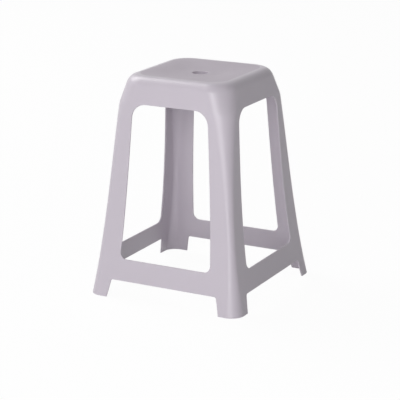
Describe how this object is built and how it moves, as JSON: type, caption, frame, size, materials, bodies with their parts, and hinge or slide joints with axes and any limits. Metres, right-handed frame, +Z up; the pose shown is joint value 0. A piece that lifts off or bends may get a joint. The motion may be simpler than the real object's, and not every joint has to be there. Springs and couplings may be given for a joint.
{
  "type": "stacking stool",
  "caption": "Square stacking stool in moulded plastic, with flared angle legs joined by low rails, open sides and a round finger hole in the seat.",
  "frame": {"origin": "on the floor, under the middle of the seat", "axes": "+Z up, front towards -Y, right towards +X"},
  "size_m": [0.356, 0.356, 0.4641],
  "materials": {
    "seat_polypropylene": "fine texture",
    "side_polypropylene": "satin, as moulded"
  },
  "bodies": {
    "root": {"seat_panel": "seat_polypropylene", "finger_hole_collar": "side_polypropylene", "apron_front": "side_polypropylene", "apron_back": "side_polypropylene", "apron_left": "side_polypropylene", "apron_right": "side_polypropylene", "leg_front_left": "side_polypropylene", "leg_front_right": "side_polypropylene", "leg_back_left": "side_polypropylene", "leg_back_right": "side_polypropylene", "rail_front": "side_polypropylene", "rail_back": "side_polypropylene", "rail_left": "side_polypropylene", "rail_right": "side_polypropylene", "seat_rib_front": "side_polypropylene", "seat_rib_back": "side_polypropylene", "seat_rib_left": "side_polypropylene", "seat_rib_right": "side_polypropylene", "corner_rib_front_left": "side_polypropylene", "corner_rib_front_right": "side_polypropylene", "corner_rib_back_left": "side_polypropylene", "corner_rib_back_right": "side_polypropylene", "stacking_stop_front_left": "side_polypropylene", "stacking_stop_front_right": "side_polypropylene", "stacking_stop_back_left": "side_polypropylene", "stacking_stop_back_right": "side_polypropylene"}
  },
  "joints": []
}
